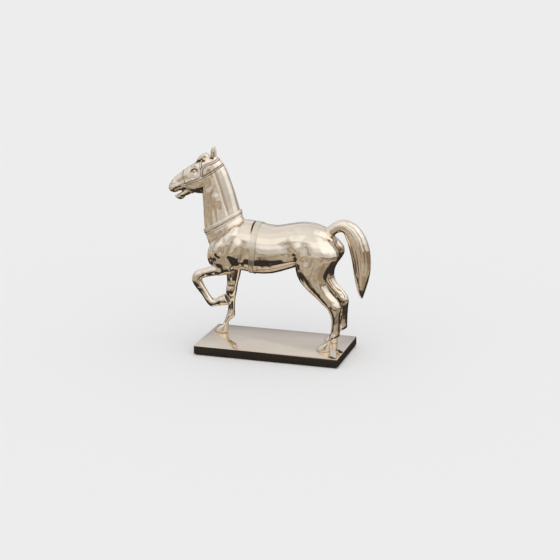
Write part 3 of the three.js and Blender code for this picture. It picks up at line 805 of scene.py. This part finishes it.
def resample(points, spacing, closed):
    """Evenly spaced points along a line, a little smoothed."""
    if closed:
        points = np.vstack([points, points[:1]])
    length = length_along(points)
    count = max(4, int(length[-1] / spacing))
    at = np.linspace(0, length[-1], count, endpoint=not closed)
    even = np.stack([np.interp(at, length, column) for column in points.T], 1)
    for _ in range(6):
        ends = even[0].copy(), even[-1].copy()
        even = 0.5 * even + 0.25 * (np.roll(even, 1, 0) + np.roll(even, -1, 0))
        if not closed:
            even[0], even[-1] = ends
    return even


def strap(name, tree, points, closed, profile, upward=None, evening=2):
    """A strip that follows the skin. Its profile is a ring of (across, height) points in mm."""
    grounds = [tree.find_nearest(Vector(p) * MM) for p in points]
    normals = np.array([tuple(ground[1]) for ground in grounds])
    for _ in range(8):
        rolled = np.roll(normals, 1, 0) + np.roll(normals, -1, 0)
        if not closed:
            rolled[0], rolled[-1] = normals[0] + normals[1], normals[-1] + normals[-2]
        normals = 0.5 * normals + 0.25 * rolled
    normals /= np.linalg.norm(normals, axis=1)[:, None]
    runs = np.roll(points, -1, 0) - np.roll(points, 1, 0)
    if not closed:
        runs[0], runs[-1] = points[1] - points[0], points[-1] - points[-2]
    across = np.cross(runs, normals)
    across /= np.linalg.norm(across, axis=1)[:, None]
    if upward is not None and (across @ np.array(upward)).mean() < 0:
        across = -across
    rings = []
    for i, point in enumerate(points):
        from_end = min(i, len(points) - 1 - i)
        ends = 1.0 if closed else min(1.0, END_WIDTH + (1 - END_WIDTH) * from_end)
        ring = []
        for offset, height in profile:
            spot = Vector(point + across[i] * offset * ends) * MM
            ground = np.array(tree.find_nearest(spot)[0]) / MM
            ring.append(ground + normals[i] * height * (ends if height > 0 else 1))
        rings.append(ring)
    rings = np.array(rings)
    for _ in range(evening):
        mean = 0.5 * rings + 0.25 * (np.roll(rings, 1, 0) + np.roll(rings, -1, 0))
        if not closed:
            mean[0], mean[-1] = rings[0], rings[-1]
        rings = mean
    count, size = len(rings), len(profile)
    faces = []
    for i in range(count if closed else count - 1):
        low, high = i * size, (i + 1) % count * size
        faces += [(low + j, low + (j + 1) % size, high + (j + 1) % size, high + j) for j in range(size)]
    if not closed:
        faces += [tuple(range(size)), tuple(reversed(range((count - 1) * size, count * size)))]
    piece = link_mesh(name, rings.reshape(-1, 3), faces)
    tidy_shell(piece, 40)
    return piece


def tidy_shell(piece, angle):
    """Normals point out, and edges sharper than angle, in degrees, stay crisp."""
    bm = bmesh.new()
    bm.from_mesh(piece.data)
    bmesh.ops.recalc_face_normals(bm, faces=bm.faces)
    bm.to_mesh(piece.data)
    bm.free()
    activate(piece)
    bpy.ops.object.shade_smooth_by_angle(angle=math.radians(angle))


# Half sections of the flat straps, as (across, height) shares, outer edge first. Their edges are raised.
STRAP_HALF = ((-0.5, -0.35), (-0.5, 0.5), (-0.43, 0.88), (-0.34, 1.0), (-0.22, 0.86), (-0.08, 0.82))
GIRTH_HALF = (
    (-0.5, -0.5),
    (-0.5, 0.6),
    (-0.46, 0.95),
    (-0.38, 1.05),
    (-0.3, 0.85),
    (-0.2, 0.8),
    (-0.07, 0.95),
)
# The collar's section in mm: a wide rounded band, and a thinner lip below it.
COLLAR_BAND = ((3.2, -0.4), (3.2, 0.8), (2.95, 1.35), (2.4, 1.6), (1.2, 1.72), (-0.2, 1.66), (-1.1, 1.4))
COLLAR_LIP = (
    (-1.45, 0.9),
    (-1.75, 0.62),
    (-2.1, 0.72),
    (-2.5, 0.95),
    (-3.0, 0.9),
    (-3.3, 0.55),
    (-3.3, -0.4),
)
COLLAR_RISE = 1.2  # mm from the neck joint up to the collar's middle
LASH_SHARE = 0.8  # the thin strap's thickness, as a share of the others'


def scaled_profile(half, width, thickness):
    """A strap's whole section, as a ring, from its half section."""
    one = [(across * width, height * thickness) for across, height in half]
    return [*one, *[(-across, height) for across, height in reversed(one)]]


def button(name, tree, at, side, radius):
    """A turned boss with a rolled rim and a domed middle, standing square on the skin."""
    found, normal = skin_beside(tree, *at, side)
    normal = (normal + Vector((0, side * 2, 0))).normalized()
    # (distance out, height) as shares of the radius, before the heights are flattened
    rim = [(0.9, -1.2), (0.98, 0.1), (1.0, 0.35), (0.96, 0.52), (0.86, 0.6), (0.76, 0.55), (0.7, 0.42)]
    dome = [(0.66, 0.46), (0.6, 0.72), (0.48, 0.92), (0.32, 1.05), (0.16, 1.11)]
    crown = 1.13
    flatness = 0.75
    sides = 36
    turn = normal.to_track_quat("Z", "Y").to_matrix()
    points, faces = [], []
    for share, height in rim + dome:
        for i in range(sides):
            angle = 2 * math.pi * i / sides
            out = share * radius
            local = Vector((math.cos(angle) * out, math.sin(angle) * out, height * radius * flatness))
            points.append(tuple(found / MM + turn @ local))
    rings = len(points) // sides
    for j in range(rings - 1):
        for i in range(sides):
            k = (i + 1) % sides
            faces.append((j * sides + i, j * sides + k, (j + 1) * sides + k, (j + 1) * sides + i))
    top = len(points)
    points.append(tuple(found / MM + turn @ Vector((0, 0, crown * radius * flatness))))
    faces += [((rings - 1) * sides + i, (rings - 1) * sides + (i + 1) % sides, top) for i in range(sides)]
    faces.append(tuple(reversed(range(sides))))
    piece = link_mesh(name, points, faces)
    tidy_shell(piece, 35)
    return piece


# ---------------------------------------------------------------- operators
class ModelBody(bpy.types.Operator):
    """Sculpts torso, legs and tail as one wax, and saws it into its castings"""

    bl_idname = "statuette.model_body"
    bl_label = "Model body"

    def execute(self, context):
        sizes = context.scene.statuette_model
        wax = clay("body_wax", [*CASTINGS, *DOWELS, "core_plug"], sizes.body_grain, sizes.fill)
        wax.round_edges(sizes.softening)
        for radius, height, path in BODY_STROKES + LEG_STROKES:
            wax.stroke(radius, height, path)
        for path in tail_paths():
            wax.stroke(*TAIL_GROOVE, path)
        wax.melt(np.ones(len(wax.co)), 3)
        girth_width = context.scene.statuette_harness.girth_width / MM
        wax.bed("girth_strap", girth_width)
        flatten_soles(wax)
        # Patina and painted shade in the hollows, and painted shadow beside the girth and on the body's
        # painted shade lines.
        wax.mark_hollows([("girth_strap", girth_width)], BODY_PAINTED_SHADE)
        wax.write()
        cuts = {limb: joint_of(limb) for limb in SAWN_WITHIN}
        bm, islands = saw(wax.thing, cuts)
        if len(islands) != len(CASTINGS):
            raise RuntimeError(f"the body came apart into {len(islands)} pieces: {[len(i) for i in islands]}")
        names = {}
        for limb, (centre, way, reach) in cuts.items():
            beyond = Vector(centre + way * reach * 0.9) * MM
            nearest = min(
                range(len(islands)),
                key=lambda i: min((face.calc_center_median() - beyond).length for face in islands[i]),
            )
            names[nearest] = limb
        for i, island in enumerate(islands):
            name = names.get(i, "torso")
            if name == "neck_and_head":
                continue
            piece = cap_and_link(name + "_casting", bm, island)
            stands_for = (name, "core_plug") if name == "torso" else (name,)
            hand_over(piece, "cast_bronze", "polished_bronze", *stands_for)
        bm.free()
        bpy.data.objects.remove(wax.thing)
        return {"FINISHED"}


class ModelHead(bpy.types.Operator):
    """Sculpts the neck and head at a finer grain"""

    bl_idname = "statuette.model_head"
    bl_label = "Model head"

    def execute(self, context):
        sizes = context.scene.statuette_model
        wax = clay("head_wax", ["neck_and_head", "torso", "neck_dowel", "bit"], sizes.head_grain, sizes.fill)
        wax.round_edges(sizes.softening * HEAD_SOFTENING)
        for radius, height, path in HEAD_STROKES + EYE_STROKES + EAR_HOLLOWS:
            wax.stroke(radius, height, path)
        wax.melt(np.ones(len(wax.co)), 2)
        width = context.scene.statuette_harness.strap_width / MM
        straps = [(name, width) for name in STRAP_LINES if name != "girth_strap"]
        for name, width in straps:
            wax.bed(name, width)
        # Patina and painted shade in the hollows, and painted shadow beside the bridle straps and on the
        # head's painted shade lines.
        wax.mark_hollows(straps, HEAD_PAINTED_SHADE)
        wax.write()
        bm, islands = saw(wax.thing, {"neck_and_head": joint_of("neck_and_head")})
        island = max(islands, key=lambda faces: max(face.calc_center_median().z for face in faces))
        piece = cap_and_link("neck_and_head_casting", bm, island)
        hand_over(piece, "cast_bronze", "polished_bronze", "neck_and_head")
        bm.free()
        bpy.data.objects.remove(wax.thing)
        return {"FINISHED"}


def skin(*names):
    """A search tree of finished castings."""
    bm = bmesh.new()
    for name in names:
        bm.from_mesh(bpy.data.objects[name].data)
    tree = BVHTree.FromBMesh(bm)
    bm.free()
    return tree


class LayBridle(bpy.types.Operator):
    """Lays the bridle's straps on the head and sets its bosses"""

    bl_idname = "statuette.lay_bridle"
    bl_label = "Lay bridle"

    def execute(self, context):
        sizes = context.scene.statuette_harness
        tree = skin("neck_and_head_casting")
        thickness = sizes.strap_thickness / MM
        wide = scaled_profile(STRAP_HALF, sizes.strap_width / MM, thickness)
        thin = scaled_profile(STRAP_HALF, sizes.lash_width / MM, LASH_SHARE * thickness)
        for name in ("noseband", "chin_strap", "crownpiece", "throat_lash"):
            profile = thin if name == "throat_lash" else wide
            points = lay(tree, course(name), (1, -1), False)
            piece = strap(name + "_band", tree, points, False, profile)
            hand_over(piece, "harness_bronze", "harness_bronze", name)
        for side, sign in (("left", 1), ("right", -1)):
            for name in ("cheek_strap", "brow_strap"):
                node_name = f"{side}_{name}"
                points = lay(tree, course(name), (sign,), False)
                piece = strap(node_name + "_band", tree, points, False, wide)
                hand_over(piece, "harness_bronze", "harness_bronze", node_name)
            for name, at in (("bit_boss", BIT_BOSS), ("rosette", ROSETTE)):
                node_name = f"{side}_{name}"
                piece = button(node_name + "_button", tree, at, sign, sizes.boss_radius / MM)
                hand_over(piece, "harness_bronze", "harness_bronze", node_name)
        return {"FINISHED"}


class LayBodyStraps(bpy.types.Operator):
    """Lays the collar over the neck joint and the girth round the barrel"""

    bl_idname = "statuette.lay_body_straps"
    bl_label = "Lay collar and girth"

    def execute(self, context):
        sizes = context.scene.statuette_harness
        tree = skin("torso_casting", "neck_and_head_casting")
        centre, way, _ = joint_of("neck_and_head")
        line = straight_course(centre + way * COLLAR_RISE, way, COLLAR_REACH)
        points = lay(tree, line, (1, -1), True)
        piece = strap("neck_collar_band", tree, points, True, COLLAR_BAND + COLLAR_LIP, way, evening=24)
        hand_over(piece, "harness_bronze", "harness_bronze", "neck_collar")
        points = lay(tree, course("girth_strap"), (1, -1), True)
        profile = scaled_profile(GIRTH_HALF, sizes.girth_width / MM, sizes.girth_thickness / MM)
        piece = strap("girth_band", tree, points, True, profile)
        hand_over(piece, "harness_bronze", "harness_bronze", "girth_strap")
        return {"FINISHED"}


PLATE_EDGE = 0.55 * MM  # rounding of its edges
FELT_EDGE = 0.25 * MM
WASHER_PLAY = 0.3 * MM  # round a washer in its counterbore
SCREW_BORE = 1.8 * MM  # radius


class MakePlate(bpy.types.Operator):
    """Makes the plate with its broken edges and counterbored screw holes, and the felt under it"""

    bl_idname = "statuette.make_plate"
    bl_label = "Make plate and felt"

    def execute(self, context):
        low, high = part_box("base_plate")
        plate = self.block("base_plate_block", low, high)
        apply_modifier(plate, "BEVEL", width=PLATE_EDGE, segments=4, limit_method="ANGLE")
        below, above = low.z - 2 * MM, high.z + 2 * MM
        for screw in ("right_fore_screw", "left_hind_screw", "right_hind_screw"):
            washer_low, washer_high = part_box(screw.replace("screw", "washer"))
            washer_radius = (washer_high - washer_low).x / 2
            self.bore(plate, screw, washer_radius + WASHER_PLAY, below, washer_high.z)
            self.bore(plate, screw, SCREW_BORE, below, above)
        activate(plate)
        bpy.ops.object.shade_smooth_by_angle(angle=math.radians(30))
        hand_over(plate, "plate_bronze", "lapped_bronze_plate", "base_plate")
        felt = self.block("felt_pad_sheet", *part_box("felt_pad"))
        apply_modifier(felt, "BEVEL", width=FELT_EDGE, segments=3, limit_method="ANGLE")
        hand_over(felt, "felt", "wool_felt", "felt_pad")
        low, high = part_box("felt_pad")
        return {"FINISHED"}

    def block(self, name, low, high):
        deselect()
        bpy.ops.mesh.primitive_cube_add(size=1, location=(low + high) / 2, scale=high - low)
        piece = bpy.context.active_object
        piece.name = piece.data.name = name
        bpy.ops.object.transform_apply(location=True, rotation=True, scale=True)
        return piece

    def bore(self, plate, screw, radius, bottom, top):
        low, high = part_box(screw)
        middle = (low + high) / 2
        deselect()
        bpy.ops.mesh.primitive_cylinder_add(
            vertices=48, radius=radius, depth=top - bottom, location=(middle.x, middle.y, (top + bottom) / 2)
        )
        drill = bpy.context.active_object
        apply_modifier(plate, "BOOLEAN", operation="DIFFERENCE", object=drill, solver="EXACT")
        bpy.data.objects.remove(drill)


class FinishFixings(bpy.types.Operator):
    """Gives the hidden screws, washers, dowels and bit their finishes"""

    bl_idname = "statuette.finish_fixings"
    bl_label = "Finish fixings"

    def execute(self, context):
        for name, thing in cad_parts.items():
            steel = name.endswith(("_screw", "_washer", "_dowel"))
            if steel or name == "bit":
                thing.data.materials.clear()
                thing.data.materials.append(finish("turned_steel" if steel else "harness_bronze"))
        return {"FINISHED"}


# The stage, in metres. An oval is its middle and half its length and width.
CARD_HEIGHT = 0.0001
DARK_OVAL = (0.0, -0.127875), (0.29, 0.2325)  # round the plate and behind it
FRONT_LOBE = (0.099, 0.078), (0.09, 0.078)  # reflected under the chest
PATCH_WIDTH = 0.16
KEY_WAY = Vector((-0.75, 0.2, 0.63))
LIGHT_TINT = "F0F3F8"
BACKDROP = "F6F6F7"


class SetStage(bpy.types.Operator):
    """Sets the floor, the lights and the camera"""

    bl_idname = "statuette.set_stage"
    bl_label = "Set stage"

    def execute(self, context):
        stage = context.scene.statuette_stage
        colours = context.scene.statuette_finish
        context.scene.view_settings.view_transform = "Standard"
        self.floor(colours.floor)
        self.card(colours.card, colours.middle_card, colours.far_card, colours.side_card, colours.card_rim)
        self.world(stage.world_light)
        camera = bpy.data.objects.new("camera", bpy.data.cameras.new("camera"))
        context.scene.collection.objects.link(camera)
        around, up = stage.azimuth, stage.elevation
        back = Vector((math.sin(around) * math.cos(up), -math.cos(around) * math.cos(up), math.sin(up)))
        camera.location = Vector(stage.target) + back * stage.distance
        camera.rotation_euler = (-back).to_track_quat("-Z", "Y").to_euler()
        camera.data.lens = stage.lens
        camera.data.sensor_width = 36
        camera.data.clip_start, camera.data.clip_end = 0.01, 100
        context.scene.camera = camera
        return {"FINISHED"}

    def floor(self, code):
        deselect()
        bpy.ops.mesh.primitive_plane_add(size=40, location=(0, 0, 0))
        floor = bpy.context.active_object
        floor.name = "floor"
        material, tree, _ = new_material("matt_floor")
        surface(tree, {"Base Color": linear(code), "Roughness": 1.0, "Specular IOR Level": 0.0})
        floor.data.materials.append(material)

    def card(self, near, middle, far, side, rim):
        """A card on the floor that only reflections see: dark round the plate, and warm grey further off.
        It gives the polished flanks and undersides their darker bands."""
        deselect()
        bpy.ops.mesh.primitive_plane_add(size=8, location=(0, 0, CARD_HEIGHT))
        card = bpy.context.active_object
        card.name = "reflected_card"
        material, tree, place = new_material("reflected_card")
        radius = self.out_from(tree, place, DARK_OVAL)
        lobe_radius = self.out_from(tree, place, FRONT_LOBE)
        nearest = node(tree, "ShaderNodeMath", {"operation": "MINIMUM", 0: radius, 1: lobe_radius})
        patches = node(tree, "ShaderNodeTexNoise", {"Scale": 1 / PATCH_WIDTH, "Detail": 2.0}, Vector=place)
        apart = node(tree, "ShaderNodeSeparateXYZ", Vector=place)
        # Each tone is laid over those before it: where it starts, where it is full, and what that reads.
        tones = (
            (far, 0.4, 0.62, patches.outputs["Fac"]),
            (near, 1.08, 0.92, nearest.outputs[0]),
            (rim, 4.0, 9.0, radius),
            (side, -0.2, -0.5, apart.outputs["X"]),
        )
        colour = linear(middle)
        for tone, start, full, reading in tones:
            share = node(
                tree, "ShaderNodeMapRange", {"From Min": start, "From Max": full, **SMOOTH}, Value=reading
            )
            mixed = node(
                tree, "ShaderNodeMix", {**COLOURS, 0: share.outputs[0], 6: colour, 7: linear(tone)}
            )
            colour = mixed.outputs[2]
        surface(tree, {"Roughness": 1.0, "Specular IOR Level": 0.0}, Base_Color=colour)
        card.data.materials.append(material)
        card.visible_camera = False
        card.visible_diffuse = False
        card.visible_shadow = False

    def out_from(self, tree, place, oval):
        """How far out a place lies from an oval's middle, with 1 on its edge."""
        (x, y), (length, width) = oval
        squeezed = node(
            tree,
            "ShaderNodeMapping",
            {"Location": (-x / length, -y / width, 0.0), "Scale": (1 / length, 1 / width, 0.0)},
            Vector=place,
        )
        radius = node(tree, "ShaderNodeVectorMath", {"operation": "LENGTH", 0: squeezed.outputs[0]})
        return radius.outputs["Value"]

    def world(self, strength):
        """Even light, brighter overhead, to the left side and round one soft key, with broad shapes in it.
        Beyond the floor the camera sees the floor's own tone."""
        world = bpy.data.worlds.new("studio")
        world.use_nodes = True
        tree = world.node_tree
        tree.nodes.clear()
        way = node(tree, "ShaderNodeTexCoord").outputs["Generated"]
        apart = node(tree, "ShaderNodeSeparateXYZ", Vector=way)
        rise = node(
            tree,
            "ShaderNodeMapRange",
            {"From Max": 0.6, "To Min": 0.5, "To Max": 1.05, **SMOOTH},
            Value=apart.outputs["Z"],
        )
        front = node(
            tree,
            "ShaderNodeMapRange",
            {"From Min": -0.6, "From Max": 0.6, "To Max": 0.28},
            Value=apart.outputs["Y"],
        )
        shapes = node(tree, "ShaderNodeTexNoise", {"Scale": 1.6, "Detail": 1.0}, Vector=way)
        shade = node(
            tree,
            "ShaderNodeMapRange",
            {"From Min": 0.3, "From Max": 0.7, "To Min": 0.88, "To Max": 1.04, **SMOOTH},
            Value=shapes.outputs["Fac"],
        )
        toward = node(
            tree, "ShaderNodeVectorMath", {"operation": "DOT_PRODUCT", 0: way, 1: KEY_WAY.normalized()}
        )
        key = node(
            tree,
            "ShaderNodeMapRange",
            {"From Min": 0.6, "To Max": 0.4, **SMOOTH},
            Value=toward.outputs["Value"],
        )
        sides = node(tree, "ShaderNodeMath", {"operation": "ADD", 0: rise.outputs[0], 1: front.outputs[0]})
        even = node(
            tree, "ShaderNodeMath", {"operation": "MULTIPLY", 0: sides.outputs[0], 1: shade.outputs[0]}
        )
        total = node(tree, "ShaderNodeMath", {"operation": "ADD", 0: even.outputs[0], 1: key.outputs[0]})
        level = node(tree, "ShaderNodeMath", {"operation": "MULTIPLY", 0: total.outputs[0], 1: strength})
        seen = node(tree, "ShaderNodeLightPath").outputs["Is Camera Ray"]
        shown = node(
            tree, "ShaderNodeMix", {"data_type": "FLOAT", 0: seen, 2: level.outputs[0], 3: strength}
        )
        tint = node(tree, "ShaderNodeMix", {**COLOURS, 0: seen, 6: linear(LIGHT_TINT), 7: linear(BACKDROP)})
        light = node(tree, "ShaderNodeBackground", Color=tint.outputs[2], Strength=shown.outputs[0])
        node(tree, "ShaderNodeOutputWorld", Surface=light.outputs[0])
        bpy.context.scene.world = world


class StatuettePanel(bpy.types.Panel):
    """The steps, in order, with their sizes and colours"""

    bl_idname = "VIEW3D_PT_statuette"
    bl_label = "Horse statuette"
    bl_space_type = "VIEW_3D"
    bl_region_type = "UI"
    bl_category = "Statuette"

    def draw(self, context):
        for group in SETTINGS:
            settings = getattr(context.scene, group)
            box = self.layout.box()
            for key in settings.bl_rna.properties.keys():
                if key not in ("rna_type", "name"):
                    box.prop(settings, key)
        for step in STEPS:
            self.layout.operator(step.bl_idname)


SETTINGS = {
    "statuette_model": ModelSettings,
    "statuette_harness": HarnessSettings,
    "statuette_finish": FinishSettings,
    "statuette_stage": StageSettings,
}
STEPS = (SetStage, ModelBody, ModelHead, LayBridle, LayBodyStraps, MakePlate, FinishFixings)


def register():
    for each in (*SETTINGS.values(), *STEPS, StatuettePanel):
        bpy.utils.register_class(each)
    for name, group in SETTINGS.items():
        setattr(bpy.types.Scene, name, PointerProperty(type=group))


def unregister():
    for name in SETTINGS:
        delattr(bpy.types.Scene, name)
    for each in reversed((*SETTINGS.values(), *STEPS, StatuettePanel)):
        bpy.utils.unregister_class(each)


def main():
    register()
    for step in STEPS:
        area, name = step.bl_idname.split(".")
        getattr(getattr(bpy.ops, area), name)()


if __name__ == "__main__":
    main()
